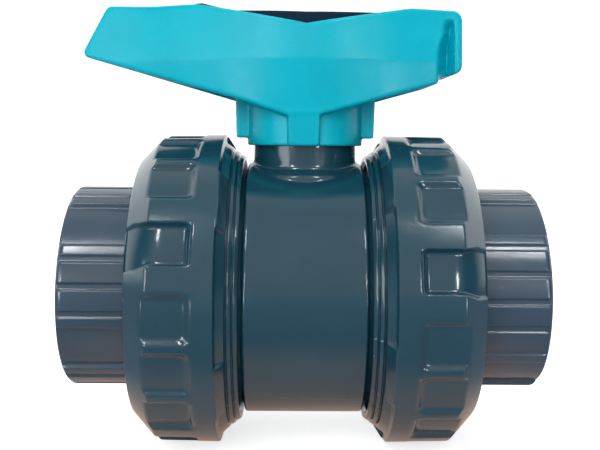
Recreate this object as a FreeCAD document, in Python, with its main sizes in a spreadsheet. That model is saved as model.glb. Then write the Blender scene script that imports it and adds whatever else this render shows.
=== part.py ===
import FreeCAD, Part
import Sketcher
import math
import os
import re
from FreeCAD import Placement, Rotation, Vector

# A 63 mm plastic ball valve with a union nut and a socket end on each side.
# X runs along the pipe, Z along the stem. Lengths are millimetres and angles are degrees.
# Profiles are drawn with the pipe axis on X. A piece is then raised by nut_radius, so that
# the valve stands on its two nuts at Z = 0. The origin is the middle of its underside.

X_AXIS = Vector(1, 0, 0)
Z_AXIS = Vector(0, 0, 1)

DRIVING_DIMENSIONS = [
    # pipe ends
    ("pipe_radius", 31.5),
    ("socket_clearance", 0.15),
    ("socket_depth", 38.0),
    ("half_length", 85.0),
    ("connector_radius", 36.6),
    ("connector_rib_height", 1.1),
    ("connector_rib_groove", 0.5),
    ("connector_end_round", 2.4),
    ("flange_radius", 42.6),
    ("flange_thickness", 9.4),
    ("face_gap", 0.1),
    ("bore_radius", 26.0),
    # union nuts
    ("nut_radius", 56.5),
    ("nut_lip_start", 22.4),
    ("nut_lip_radius", 50.7),
    ("nut_cone_start", 26.6),
    ("nut_rim_start", 29.4),
    ("nut_rim_end", 36.5),
    ("nut_land_end", 52.0),
    ("nut_shoulder_radius", 46.4),
    ("nut_face", 60.0),
    ("nut_hole_radius", 37.2),
    ("nut_wall_start", 52.8),
    ("nut_pocket_depth", 3.8),
    ("nut_pocket_angle", 15.0),
    ("nut_pad_depth", 1.3),
    ("nut_pad_angle", 15.6),
    ("nut_pad_pitch", 19.5),
    ("nut_scallop_angle", 42.0),
    ("nut_scallop_count", 6),
    # union threads, right hand, three turns long
    ("union_lead", 5.0),
    ("union_turns", 3.0),
    ("union_body_root", 43.2),
    ("union_body_crest", 45.4),
    ("union_nut_crest", 43.8),
    ("union_nut_root", 46.0),
    # valve body
    ("barrel_radius", 46.0),
    ("barrel_half", 21.0),
    ("barrel_edge", 0.8),
    ("body_half", 43.0),
    ("cavity_radius", 37.5),
    ("cavity_start", -24.0),
    ("neck_radius", 18.85),
    ("neck_top", 60.0),
    ("neck_boss_radius", 22.9),
    # stem
    ("stem_bore_radius", 11.0),
    ("running_clearance", 0.05),
    ("stem_flange_radius", 14.0),
    ("stem_flange_start", 38.0),
    ("stem_flange_end", 41.5),
    ("washer_thickness", 1.2),
    ("stem_groove_root", 8.9),
    ("stem_groove_width", 2.3),
    ("stem_groove_lower", 46.0),
    ("stem_groove_upper", 52.5),
    ("stem_ring_cord", 1.0),
    ("stem_square", 15.0),
    ("stem_top", 80.0),
    ("tang_width", 10.0),
    ("tang_length", 24.0),
    ("tang_bottom", 30.0),
    # ball and seats
    ("ball_radius", 36.0),
    ("ball_bore", 25.0),
    ("slot_bottom", 29.5),
    ("slot_clearance", 0.1),
    ("seat_outer", 33.5),
    ("seat_inner", 26.2),
    ("seat_front", 19.0),
    ("seat_back", 29.5),
    ("seat_fit", 0.1),
    ("cushion_radius", 30.0),
    ("cushion_cord", 1.5),
    ("cushion_groove", 3.1),
    # seat carrier
    ("carrier_front", 20.0),
    ("carrier_back", 42.8),
    ("carrier_thread_start", 27.5),
    ("carrier_lead", 3.0),
    ("carrier_root", 38.0),
    ("carrier_crest", 39.5),
    ("carrier_body_crest", 38.5),
    ("carrier_body_root", 40.0),
    ("carrier_fit", 0.15),
    ("carrier_groove_depth", 2.5),
    ("carrier_groove_width", 2.6),
    ("carrier_ring_cord", 1.15),
    ("carrier_slot_width", 6.0),
    ("carrier_slot_radius", 31.5),
    # face seals
    ("face_ring_radius", 35.0),
    ("face_ring_cord", 1.45),
    ("face_groove", 3.0),
    ("ring_groove_half", 1.6),
    # handle
    ("hub_radius", 21.6),
    ("hub_bottom", 52.7),
    ("hub_ceiling", 60.5),
    ("hub_bore_clearance", 0.35),
    ("lug_width", 11.4),
    ("lug_reach", 25.9),
    ("lug_bottom", 55.5),
    ("lug_top", 66.0),
    ("crease_height", 85.0),
    ("wall_lean", 7.0),
    ("handle_wall", 3.0),
    ("web_bottom", 84.0),
    ("web_top", 87.0),
    ("insert_wall", 4.7),
    ("insert_gap", 0.3),
    ("insert_west", -41.0),
    ("insert_east", 39.5),
    ("stop_angle", 30.0),
    ("stop_height", 2.5),
    ("stop_inner", 13.0),
    ("quarter_turn", 90.0),
]

doc = FreeCAD.newDocument("union_ball_valve")
sheet = doc.addObject("Spreadsheet::Sheet", "Params")
for row, (alias, number) in enumerate(DRIVING_DIMENSIONS, start=1):
    sheet.set(f"A{row}", str(number))
    sheet.setAlias(f"A{row}", alias)
doc.recompute()

ALIASES = {alias for alias, _ in DRIVING_DIMENSIONS}


def bound(formula):
    """The formula with each alias written as a reference to the sheet."""

    def reference(word):
        return f"Params.{word[0]}" if word[0] in ALIASES else word[0]

    return re.sub(r"[a-z_]+", reference, str(formula))


def value(formula):
    """The number that a formula of aliases gives now."""
    return float(sheet.evalExpression(bound(formula)))


def bind(target, **formulas):
    """Bind properties of an object to formulas of the sheet's aliases."""
    for name, formula in formulas.items():
        target.setExpression(name, bound(formula))


def place(target, x="0", y="0", z="0"):
    """Bind the three coordinates of an object's position."""
    for letter, formula in zip("xyz", (x, y, z)):
        target.setExpression(f".Placement.Base.{letter}", bound(formula))


# ---------------------------------------------------------------- sketches and bodies


def origin_feature(body, role):
    return next(item for item in body.Origin.OriginFeatures if item.Role == role)


def pin_coordinate(sketch, vertex, direction, axis_line, formula):
    """Fix one coordinate of a line's start point to a formula."""
    number = value(formula)
    if abs(number) < 1e-9:
        sketch.addConstraint(Sketcher.Constraint("PointOnObject", vertex, 1, axis_line))
        return
    if number > 0:
        index = sketch.addConstraint(Sketcher.Constraint(direction, -1, 1, vertex, 1, number))
        sketch.setExpression(f"Constraints[{index}]", bound(formula))
        return
    index = sketch.addConstraint(Sketcher.Constraint(direction, vertex, 1, -1, 1, -number))
    sketch.setExpression(f"Constraints[{index}]", bound(f"-({formula})"))


def polygon_sketch(body, name, plane, corners, turn=0.0):
    """A closed polygon on an origin plane, each corner pinned to two formulas."""
    sketch = body.newObject("Sketcher::SketchObject", name)
    sketch.AttachmentSupport = [(origin_feature(body, plane), "")]
    sketch.MapMode = "FlatFace"
    sketch.AttachmentOffset = Placement(Vector(), Rotation(X_AXIS, turn))
    points = [Vector(value(across), value(up), 0) for across, up in corners]
    count = len(points)
    for index in range(count):
        sketch.addGeometry(Part.LineSegment(points[index], points[(index + 1) % count]), False)
    for index in range(count):
        sketch.addConstraint(Sketcher.Constraint("Coincident", index, 2, (index + 1) % count, 1))
    for index, (across, up) in enumerate(corners):
        pin_coordinate(sketch, index, "DistanceX", -2, across)
        pin_coordinate(sketch, index, "DistanceY", -1, up)
    return sketch


def new_body(label):
    body = doc.addObject("PartDesign::Body", label)
    body.Label = label
    return body


def revolve(body, name, plane, corners, axis="H_Axis"):
    """Add a solid of revolution about an axis of its own sketch."""
    sketch = polygon_sketch(body, f"{name}_profile", plane, corners)
    feature = body.newObject("PartDesign::Revolution", name)
    feature.Profile = sketch
    feature.ReferenceAxis = (sketch, [axis])
    feature.Angle = 360
    return feature


def groove(body, name, plane, corners, axis="H_Axis", angle="360", turn=0.0):
    """Cut a groove about the sketch's axis, centred on the sketch's plane."""
    sketch = polygon_sketch(body, f"{name}_profile", plane, corners, turn)
    feature = body.newObject("PartDesign::Groove", name)
    feature.Profile = sketch
    feature.ReferenceAxis = (sketch, [axis])
    feature.Midplane = True
    bind(feature, Angle=angle)
    return feature


def polar(body, name, feature, axis_role, count):
    """Repeat a feature evenly about one of the body's axes."""
    pattern = body.newObject("PartDesign::PolarPattern", name)
    pattern.Originals = [feature]
    pattern.Axis = (origin_feature(body, axis_role), [""])
    pattern.Angle = 360
    bind(pattern, Occurrences=count)
    body.Tip = pattern
    return pattern


def thread(body, name, start, root, crest, lead, turns, width, outward):
    """Add a right hand helical ridge about X. It stands outward or inward of its root."""
    sink = "- 0.3" if outward else "+ 0.3"
    corners = [
        (start, f"{root} {sink}"),
        (f"{start} + {width}", f"{root} {sink}"),
        (f"{start} + 0.75 * {width}", crest),
        (f"{start} + 0.25 * {width}", crest),
    ]
    sketch = polygon_sketch(body, f"{name}_profile", "XZ_Plane", corners)
    feature = body.newObject("PartDesign::AdditiveHelix", name)
    feature.Profile = sketch
    feature.ReferenceAxis = (sketch, ["H_Axis"])
    feature.Mode = "pitch-turns-angle"
    feature.LeftHanded = False
    feature.Reversed = False
    bind(feature, Pitch=lead, Turns=turns)
    return feature


def pocket_box(body, name, plane, corners, length):
    """Cut a prism of a polygon, centred on the origin plane that it is drawn on."""
    sketch = polygon_sketch(body, f"{name}_profile", plane, corners)
    feature = body.newObject("PartDesign::Pocket", name)
    feature.Profile = sketch
    feature.Midplane = True
    bind(feature, Length=length)
    return feature


def ring(label, cord, radius, along, axis):
    """An O-ring about X or Z, its centre along that axis measured from the pipe axis."""
    torus = doc.addObject("Part::Torus", label)
    torus.Label = label
    bind(torus, Radius1=radius, Radius2=cord)
    if axis == "X":
        torus.Placement = Placement(Vector(), Rotation(Vector(0, 1, 0), 90))
        place(torus, x=along, z="nut_radius")
    else:
        place(torus, z=f"nut_radius + {along}")
    return torus


# ---------------------------------------------------------------- pipe side pieces


def end_connector(label, land_turn):
    """Flange, ribbed sleeve and the socket for the pipe, drawn for the +X side."""
    body = new_body(label)
    revolve(body, f"{label}_solid", "XZ_Plane", [
        ("body_half + face_gap", "bore_radius"),
        ("body_half + face_gap", "face_ring_radius - ring_groove_half"),
        ("body_half + face_gap + face_groove", "face_ring_radius - ring_groove_half"),
        ("body_half + face_gap + face_groove", "face_ring_radius + ring_groove_half"),
        ("body_half + face_gap", "face_ring_radius + ring_groove_half"),
        ("body_half + face_gap", "flange_radius - 0.6"),
        ("body_half + face_gap + 0.6", "flange_radius"),
        ("body_half + flange_thickness", "flange_radius"),
        ("body_half + flange_thickness", "connector_radius"),
        ("half_length - connector_end_round", "connector_radius"),
        ("half_length - 0.3 * connector_end_round", "connector_radius - 0.3 * connector_end_round"),
        ("half_length", "connector_radius - connector_end_round"),
        ("half_length", "pipe_radius + socket_clearance"),
        ("half_length - socket_depth", "pipe_radius + socket_clearance"),
        ("half_length - socket_depth", "bore_radius"),
    ])
    # Ribs stand on a 15 degree grid: five, a valley of two, three, a valley of two, twice round.
    valleys = [52.5, 127.5, 232.5, 307.5]
    grooves = [-30, -15, 0, 15, 30, 75, 90, 105]
    sleeve_start = "body_half + flange_thickness + 0.5"
    for number, angle in enumerate(valleys):
        groove(body, f"{label}_valley_{number}", "XZ_Plane", [
            (sleeve_start, "connector_radius - connector_rib_height"),
            ("half_length + 1", "connector_radius - connector_rib_height"),
            ("half_length + 1", "connector_radius + 1"),
            (sleeve_start, "connector_radius + 1"),
        ], angle="29", turn=angle + land_turn)
    for number, middle in enumerate(grooves):
        for half in (0, 180):
            groove(body, f"{label}_groove_{number}_{half}", "XZ_Plane", [
                (sleeve_start, "connector_radius - connector_rib_groove"),
                ("half_length + 1", "connector_radius - connector_rib_groove"),
                ("half_length + 1", "connector_radius + 1"),
                (sleeve_start, "connector_radius + 1"),
            ], angle="3.6", turn=middle + half + land_turn)
    return body


def union_nut(label, pocket_turn, scallop_turn):
    """Castellated nut, drawn for the +X side. Turns are measured about X from +Z."""
    body = new_body(label)
    revolve(body, f"{label}_solid", "XZ_Plane", [
        ("nut_lip_start", "union_nut_root + 0.3"),
        ("nut_lip_start", "nut_lip_radius - 1.2"),
        ("nut_lip_start + 1.0", "nut_lip_radius"),
        ("nut_cone_start - 0.6", "nut_lip_radius"),
        ("nut_cone_start", "nut_lip_radius + 1.6"),
        ("nut_rim_start - 0.3", "nut_radius - 0.6"),
        ("nut_rim_start + 0.5", "nut_radius"),
        ("nut_land_end", "nut_radius - 0.3"),
        ("nut_land_end + 4.2", "nut_radius - 4.2"),
        ("nut_face - 0.9", "nut_shoulder_radius + 1.2"),
        ("nut_face", "nut_shoulder_radius - 1.0"),
        ("nut_face", "nut_hole_radius + 0.6"),
        ("nut_face - 0.6", "nut_hole_radius"),
        ("nut_wall_start", "nut_hole_radius"),
        ("nut_wall_start", "union_nut_root"),
        ("nut_lip_start + 1.4", "union_nut_root"),
    ])
    pocket = groove(body, f"{label}_pocket", "XZ_Plane", [
        ("nut_rim_end", "nut_radius + 1"),
        ("nut_rim_end + 3", "nut_radius - nut_pocket_depth"),
        ("nut_face + 1", "nut_radius - nut_pocket_depth"),
        ("nut_face + 1", "nut_radius + 1"),
    ], angle="nut_pocket_angle", turn=pocket_turn)
    polar(body, f"{label}_pockets", pocket, "X_Axis", "4")
    for number in (-1, 0, 1):
        pad = groove(body, f"{label}_pad_{number + 1}", "XZ_Plane", [
            ("nut_rim_end + 0.6", "nut_radius + 0.6"),
            ("nut_rim_end + 3.8", "nut_radius - nut_pad_depth"),
            ("nut_land_end - 1.4", "nut_radius - nut_pad_depth"),
            ("nut_land_end + 0.5", "nut_radius + 0.6"),
        ], angle="nut_pad_angle", turn=pocket_turn + 45 + number * value("nut_pad_pitch"))
        polar(body, f"{label}_pads_{number + 1}", pad, "X_Axis", "4")
    scallop = groove(body, f"{label}_scallop", "XZ_Plane", [
        ("nut_cone_start + 0.3", "nut_radius - 1.6"),
        ("nut_cone_start + 1.3", "nut_radius - 4.2"),
        ("nut_rim_start + 0.6", "nut_radius - 1.6"),
        ("nut_rim_start - 1.2", "nut_radius + 1.0"),
    ], angle="nut_scallop_angle", turn=scallop_turn)
    polar(body, f"{label}_scallops", scallop, "X_Axis", "nut_scallop_count")
    thread(body, f"{label}_thread", "nut_lip_start + 5.0", "union_nut_root", "union_nut_crest",
           "union_lead", "union_turns", "2.0", outward=False)
    return body


def mirror_side(body):
    """Turn a +X piece half round the stem axis, to make it the -X piece."""
    body.Placement = Placement(Vector(), Rotation(Z_AXIS, 180))
    place(body, z="nut_radius")


# ---------------------------------------------------------------- body, ball and seats


def valve_body():
    """Barrel with a union thread at both ends, a neck and the ball's cavity."""
    body = new_body("valve_body")
    revolve(body, "barrel", "XZ_Plane", [
        ("-body_half", "bore_radius"),
        ("-body_half", "union_body_root - 0.8"),
        ("-body_half + 0.8", "union_body_root"),
        ("-barrel_half", "union_body_root"),
        ("-barrel_half", "barrel_radius - barrel_edge"),
        ("-barrel_half + barrel_edge", "barrel_radius"),
        ("barrel_half - barrel_edge", "barrel_radius"),
        ("barrel_half", "barrel_radius - barrel_edge"),
        ("barrel_half", "union_body_root"),
        ("body_half - 0.8", "union_body_root"),
        ("body_half", "union_body_root - 0.8"),
        ("body_half", "bore_radius"),
    ])
    revolve(body, "neck", "XZ_Plane", [
        ("0", "barrel_radius - 7"),
        ("neck_boss_radius", "barrel_radius - 7"),
        ("neck_boss_radius", "barrel_radius - 4.8"),
        ("neck_boss_radius - 0.7", "barrel_radius - 3.7"),
        ("neck_radius + 1.6", "barrel_radius - 2.4"),
        ("neck_radius + 1.3", "barrel_radius - 0.5"),
        ("neck_radius + 0.7", "barrel_radius + 0.3"),
        ("neck_radius", "barrel_radius + 0.8"),
        ("neck_radius", "neck_top"),
        ("0", "neck_top"),
    ], axis="V_Axis")
    groove(body, "cavity", "XZ_Plane", [
        ("-body_half - 1", "0"),
        ("-body_half - 1", "bore_radius"),
        ("-seat_back", "bore_radius"),
        ("-seat_back", "cushion_radius - ring_groove_half"),
        ("-seat_back - cushion_groove", "cushion_radius - ring_groove_half"),
        ("-seat_back - cushion_groove", "cushion_radius + ring_groove_half"),
        ("-seat_back", "cushion_radius + ring_groove_half"),
        ("-seat_back", "seat_outer + seat_fit"),
        ("cavity_start", "seat_outer + seat_fit"),
        ("cavity_start", "cavity_radius"),
        ("carrier_thread_start", "cavity_radius"),
        ("carrier_thread_start", "carrier_body_root"),
        ("body_half + 1", "carrier_body_root"),
        ("body_half + 1", "0"),
    ])
    groove(body, "stem_bore", "XZ_Plane", [
        ("0", "cavity_radius - 4"),
        ("stem_flange_radius + seat_fit", "cavity_radius - 4"),
        ("stem_flange_radius + seat_fit", "stem_flange_end + washer_thickness + running_clearance"),
        ("stem_bore_radius", "stem_flange_end + washer_thickness + running_clearance"),
        ("stem_bore_radius", "neck_top + 1"),
        ("0", "neck_top + 1"),
    ], axis="V_Axis")
    ridge = thread(body, "union_thread", "barrel_half + 4.0", "union_body_root", "union_body_crest",
                   "union_lead", "union_turns", "2.4", outward=True)
    polar(body, "union_threads", ridge, "Z_Axis", "2")
    thread(body, "carrier_thread", "carrier_thread_start + 2.0", "carrier_body_root",
           "carrier_body_crest", "carrier_lead", "3.5", "1.3", outward=False)
    stop = polygon_sketch(body, "stop_profile", "XZ_Plane", [
        ("stop_inner", "neck_top - 1"),
        ("neck_radius - 0.6", "neck_top - 1"),
        ("neck_radius - 0.6", "neck_top + stop_height"),
        ("stop_inner", "neck_top + stop_height"),
    ])
    lug = body.newObject("PartDesign::Revolution", "stop_lug")
    lug.Profile = stop
    lug.ReferenceAxis = (stop, ["V_Axis"])
    lug.Midplane = True
    bind(lug, Angle="stop_angle")
    place(body, z="nut_radius")
    return body


def ball():
    """Full port ball with the slot that the stem's tang turns."""
    sphere = doc.addObject("Part::Sphere", "ball_sphere")
    bind(sphere, Radius="ball_radius")
    port = doc.addObject("Part::Cylinder", "ball_port")
    bind(port, Radius="ball_bore", Height="2.2 * ball_radius")
    port.Placement = Placement(Vector(), Rotation(Vector(0, 1, 0), 90))
    place(port, x="-1.1 * ball_radius")
    slot = doc.addObject("Part::Box", "ball_slot")
    bind(slot, Length="tang_width + 2 * slot_clearance", Width="2.2 * ball_radius", Height="ball_radius")
    place(slot, x="-tang_width / 2 - slot_clearance", y="-1.1 * ball_radius", z="slot_bottom")
    cutters = doc.addObject("Part::MultiFuse", "ball_cutters")
    cutters.Shapes = [port, slot]
    cut = doc.addObject("Part::Cut", "ball")
    cut.Label = "ball"
    cut.Base = sphere
    cut.Tool = cutters
    place(cut, z="nut_radius")
    return cut


def seat(label, side):
    """Ring seat whose front face is hollowed to the ball. side is +1 or -1."""
    blank = doc.addObject("Part::Cylinder", f"{label}_blank")
    bind(blank, Radius="seat_outer", Height="seat_back - seat_front")
    blank.Placement = Placement(Vector(), Rotation(Vector(0, 1, 0), 90 * side))
    place(blank, x=f"{side} * seat_front")
    opening = doc.addObject("Part::Cylinder", f"{label}_opening")
    bind(opening, Radius="seat_inner", Height="seat_back")
    opening.Placement = Placement(Vector(), Rotation(Vector(0, 1, 0), 90 * side))
    place(opening, x=f"{side} * (seat_front - 5)")
    hollow = doc.addObject("Part::Sphere", f"{label}_hollow")
    bind(hollow, Radius="ball_radius + running_clearance")
    cutters = doc.addObject("Part::MultiFuse", f"{label}_cutters")
    cutters.Shapes = [opening, hollow]
    cut = doc.addObject("Part::Cut", label)
    cut.Label = label
    cut.Base = blank
    cut.Tool = cutters
    place(cut, z="nut_radius")
    return cut


def seat_carrier():
    """Threaded ring that holds the +X seat, with two slots for the key."""
    body = new_body("seat_carrier")
    revolve(body, "carrier_solid", "XZ_Plane", [
        ("carrier_front", "seat_outer + seat_fit"),
        ("carrier_front", "cavity_radius - carrier_fit"),
        ("carrier_front + carrier_groove_width", "cavity_radius - carrier_fit"),
        ("carrier_front + carrier_groove_width", "cavity_radius - carrier_groove_depth"),
        ("carrier_front + 2 * carrier_groove_width", "cavity_radius - carrier_groove_depth"),
        ("carrier_front + 2 * carrier_groove_width", "cavity_radius - carrier_fit"),
        ("carrier_thread_start + 0.1", "cavity_radius - carrier_fit"),
        ("carrier_thread_start + 0.1", "carrier_root"),
        ("carrier_back", "carrier_root"),
        ("carrier_back", "bore_radius"),
        ("seat_back", "bore_radius"),
        ("seat_back", "cushion_radius - ring_groove_half"),
        ("seat_back + cushion_groove", "cushion_radius - ring_groove_half"),
        ("seat_back + cushion_groove", "cushion_radius + ring_groove_half"),
        ("seat_back", "cushion_radius + ring_groove_half"),
        ("seat_back", "seat_outer + seat_fit"),
    ])
    thread(body, "carrier_ridge", "carrier_thread_start + 2.0 + carrier_lead / 2", "carrier_root",
           "carrier_crest", "carrier_lead", "3.0", "1.3", outward=True)
    pocket_box(body, "key_slots", "XZ_Plane", [
        ("carrier_back - 5", "-carrier_slot_radius"),
        ("carrier_back + 1", "-carrier_slot_radius"),
        ("carrier_back + 1", "carrier_slot_radius"),
        ("carrier_back - 5", "carrier_slot_radius"),
    ], "carrier_slot_width")
    place(body, z="nut_radius")
    return body


# ---------------------------------------------------------------- stem


def stem():
    """Stem with a tang for the ball, a retaining flange, two seal grooves and a square."""
    body = new_body("stem")
    shaft = "stem_bore_radius - running_clearance"
    revolve(body, "stem_solid", "XZ_Plane", [
        ("0", "stem_flange_start"),
        ("stem_flange_radius", "stem_flange_start"),
        ("stem_flange_radius", "stem_flange_end"),
        (shaft, "stem_flange_end"),
        (shaft, "stem_groove_lower"),
        ("stem_groove_root", "stem_groove_lower"),
        ("stem_groove_root", "stem_groove_lower + stem_groove_width"),
        (shaft, "stem_groove_lower + stem_groove_width"),
        (shaft, "stem_groove_upper"),
        ("stem_groove_root", "stem_groove_upper"),
        ("stem_groove_root", "stem_groove_upper + stem_groove_width"),
        (shaft, "stem_groove_upper + stem_groove_width"),
        (shaft, "neck_top + 0.4"),
        ("0", "neck_top + 0.4"),
    ], axis="V_Axis")
    pad_prism(body, "stem_tang", "tang_width", "tang_length", "tang_bottom", "stem_flange_start + 1")
    pad_prism(body, "stem_head", "stem_square", "stem_square", "neck_top", "stem_top")
    place(body, z="nut_radius")
    return body


def pad_prism(body, name, width, depth, bottom, top):
    """Add an upright block, width along X and depth along Y."""
    sketch = polygon_sketch(body, f"{name}_profile", "XZ_Plane", [
        (f"-{width} / 2", bottom),
        (f"{width} / 2", bottom),
        (f"{width} / 2", top),
        (f"-{width} / 2", top),
    ])
    feature = body.newObject("PartDesign::Pad", name)
    feature.Profile = sketch
    feature.Midplane = True
    bind(feature, Length=depth)
    return feature


def stem_thrust_washer():
    """Flat ring between the stem's flange and the body."""
    body = new_body("stem_thrust_washer")
    revolve(body, "washer_solid", "XZ_Plane", [
        ("stem_bore_radius + 0.2", "stem_flange_end"),
        ("stem_flange_radius - 0.1", "stem_flange_end"),
        ("stem_flange_radius - 0.1", "stem_flange_end + washer_thickness"),
        ("stem_bore_radius + 0.2", "stem_flange_end + washer_thickness"),
    ], axis="V_Axis")
    place(body, z="nut_radius")
    return body


# ---------------------------------------------------------------- handle and key insert

# Half widths of the lever in plan at the crease, running past both ends of the side view.
PLAN_HALF_WIDTHS = [(-87.0, 0.9), (-62.0, 7.9), (-45.0, 15.4), (-25.0, 23.2), (0.0, 28.2),
                    (25.0, 24.0), (48.0, 17.6), (61.0, 14.8)]

# Corners of the lever seen from the side, clockwise from the long tip: along X, height above
# the pipe axis, and the radius that rounds the corner.
LEVER_CORNERS = [(-84.1, 86.1, 2.0), (-74.3, 103.1, 4.0), (-56.0, 102.7, 12.0), (-39.7, 104.7, 5.0),
                 (0.0, 95.6, 0.0), (37.8, 102.9, 8.0), (56.8, 101.9, 3.2), (56.8, 81.2, 3.0),
                 (48.8, 77.7, 0.0), (47.5, 75.3, 0.0), (5.7, 64.0, 0.0), (-5.7, 63.6, 0.0),
                 (-24.4, 69.6, 0.0)]

# A height that is over the whole handle.
ABOVE_ALL = 120.0


def rounded_wire(corners, y):
    """A closed outline in a plane of constant Y, with each corner turned into an arc."""
    points = [Vector(x, y, z) for x, z, _ in corners]
    edges, starts, ends = [], [], []
    for index, (_, _, radius) in enumerate(corners):
        before, corner = points[index - 1], points[index]
        after = points[(index + 1) % len(points)]
        inward, outward = (before - corner).normalize(), (after - corner).normalize()
        half = math.acos(max(-1.0, min(1.0, inward.dot(outward)))) / 2
        reach = radius / math.tan(half) if radius else 0.0
        starts.append(corner + inward * reach)
        ends.append(corner + outward * reach)
        if radius:
            middle = (inward + outward).normalize()
            crown = corner + middle * (radius / math.sin(half) - radius)
            edges.append(Part.Arc(starts[-1], crown, ends[-1]).toShape())
        else:
            edges.append(None)
    loop = []
    for index, arc in enumerate(edges):
        if arc:
            loop.append(arc)
        loop.append(Part.makeLine(ends[index], starts[(index + 1) % len(starts)]))
    return Part.Wire(loop)


def plan_wire(height, inset):
    """Closed smooth plan outline at a height, moved inward by inset on every side."""
    first, last = PLAN_HALF_WIDTHS[0], PLAN_HALF_WIDTHS[-1]
    front = [Vector(x, -max(half - inset, 0.3), height) for x, half in PLAN_HALF_WIDTHS]
    back = [Vector(point.x, -point.y, height) for point in reversed(front)]
    edges = []
    for side in (front, back):
        curve = Part.BSplineCurve()
        curve.interpolate(side)
        edges.append(curve.toShape())
    ends = [Part.makeLine(front[-1], back[0]), Part.makeLine(back[-1], front[0])]
    return Part.Wire([edges[0], ends[0], edges[1], ends[1]])


def lever_loft(inset):
    """Two drafted shells that meet at the crease, as one solid that runs past the lever's ends."""
    crease = value("crease_height")
    lean = math.tan(math.radians(value("wall_lean")))
    bottom = value("hub_bottom")
    top = value("stem_top") + 30
    lower = Part.makeLoft([plan_wire(bottom, inset + lean * (crease - bottom)),
                           plan_wire(crease, inset)], True, True)
    upper = Part.makeLoft([plan_wire(crease, inset),
                           plan_wire(top, inset + 0.7 * lean * (top - crease))], True, True)
    return lower.fuse(upper)


def side_prism(corners, half_depth=40.0):
    """A side view outline drawn through the whole depth of the lever."""
    corners = [corner if len(corner) == 3 else (*corner, 0.0) for corner in corners]
    return Part.Face(rounded_wire(corners, -half_depth)).extrude(Vector(0, 2 * half_depth, 0))


def lever_blank():
    """The outer shape of the lever."""
    return lever_loft(0).common(side_prism(LEVER_CORNERS))


def upright(radius, bottom, top, angle=360.0, start=0.0):
    """A cylinder, or a sector of one, about the stem axis. Angles are in degrees."""
    piece = Part.makeCylinder(radius, top - bottom, Vector(0, 0, bottom), Z_AXIS, angle)
    piece.rotate(Vector(), Z_AXIS, start)
    return piece


def block(low, high):
    size = Vector(*high) - Vector(*low)
    return Part.makeBox(size.x, size.y, size.z, Vector(*low))


def plan_prism(inset, bottom, top):
    """The lever's plan outline moved inward, drawn straight up so that nothing in it is trapped."""
    return Part.Face(plan_wire(bottom, inset)).extrude(Vector(0, 0, top - bottom))


def handle_cavities():
    """The hollows under both wings and the seat of the key insert."""
    inner = lever_loft(value("handle_wall"))
    web_bottom, web_top = value("web_bottom"), value("web_top")
    wall = value("handle_wall")
    below = side_prism([(-74.0, 60.0), (-74.0, 92.0), (-70.0, 99.0), (-44.5, 100.0),
                        (-44.5, web_bottom), (45.0, web_bottom), (45.0, 60.0)])
    hub = upright(value("hub_radius") + 0.5 * wall, 40, web_bottom + 1)
    ribs = block((-74.0, -1.2, 60.0), (-44.0, 1.2, 101.0))
    west, east = value("insert_west"), value("insert_east")
    span = block((west, -40.0, web_top), (east, 40.0, ABOVE_ALL))
    insert_seat = plan_prism(value("insert_wall"), web_top, ABOVE_ALL).common(span)
    return inner.common(below).cut(hub).cut(ribs), insert_seat


def finger_notches():
    """The scoop in each side of the short end, in front of its end lip. Its upper edge slants."""
    side_view = side_prism([(47.4, 60.0), (47.4, 89.5), (53.9, 98.1), (53.9, 60.0)])
    notches = []
    for side in (-1, 1):
        plan = [(47.4, 30.0), (47.4, 17.7), (51.6, 12.6), (53.9, 16.2), (53.9, 30.0)]
        corners = [Vector(x, side * y, 60.0) for x, y in plan]
        wire = Part.makePolygon(corners + corners[:1])
        notches.append(Part.Face(wire).extrude(Vector(0, 0, 50.0)).common(side_view))
    return notches


def handle():
    """Lever with a hub that skirts the neck and takes the stem's square."""
    below, insert_seat = handle_cavities()
    hub_bottom, ceiling = value("hub_bottom"), value("hub_ceiling")
    shape = lever_blank()
    shape = shape.cut(below)
    shape = shape.fuse(upright(value("hub_radius"), hub_bottom, value("web_bottom") + 1))
    reach, half = value("lug_reach"), value("lug_width") / 2
    low, high = value("lug_bottom"), value("lug_top")
    shape = shape.fuse([block((-reach, -half, low), (reach, half, high)),
                        block((-half, -reach, hub_bottom), (half, reach, high))])
    shape = shape.cut(insert_seat)
    shape = shape.cut(upright(value("neck_radius + hub_bore_clearance"), hub_bottom - 1, ceiling))
    side = value("stem_square / 2 + running_clearance")
    shape = shape.cut(block((-side, -side, ceiling - 1), (side, side, value("stem_top + 1"))))
    sweep = value("stop_angle + quarter_turn + 2")
    stop_top = value("neck_top + stop_height + 0.4")
    stop_slot = upright(value("neck_radius - 0.3"), ceiling - 0.5, stop_top, sweep,
                        value("-stop_angle / 2 - 1"))
    shape = shape.cut(stop_slot.cut(upright(value("stop_inner - 0.4"), 50, 70)))
    for notch in finger_notches():
        shape = shape.cut(notch)
    return shape.removeSplitter()


def key_insert():
    """Bar that fills the lever's top, with two prongs that fit the seat carrier's slots."""
    gap = value("insert_gap")
    floor = value("web_top") + gap
    west, east = value("insert_west") + gap, value("insert_east") - gap
    plate_bottom = 93.0
    outline = [(west, plate_bottom), (west, 104.9), (-37.4, 104.9), (-27.0, 100.6), (28.0, 100.3),
               (35.6, 103.2), (east, 103.3), (east, plate_bottom)]
    plate = plan_prism(value("insert_wall") + gap, plate_bottom, ABOVE_ALL).common(side_prism(outline))
    spine = block((west + 1, -2.0, floor), (east - 1, 2.0, plate_bottom + 1))
    half_slot = value("carrier_slot_width") / 2 - gap
    inner, outer = value("bore_radius") + gap, value("carrier_slot_radius") - gap
    prongs = [block((inner, -half_slot, floor), (outer, half_slot, plate_bottom + 1)),
              block((-outer, -half_slot, floor), (-inner, half_slot, plate_bottom + 1))]
    return plate.fuse([spine] + prongs).removeSplitter()


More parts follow.
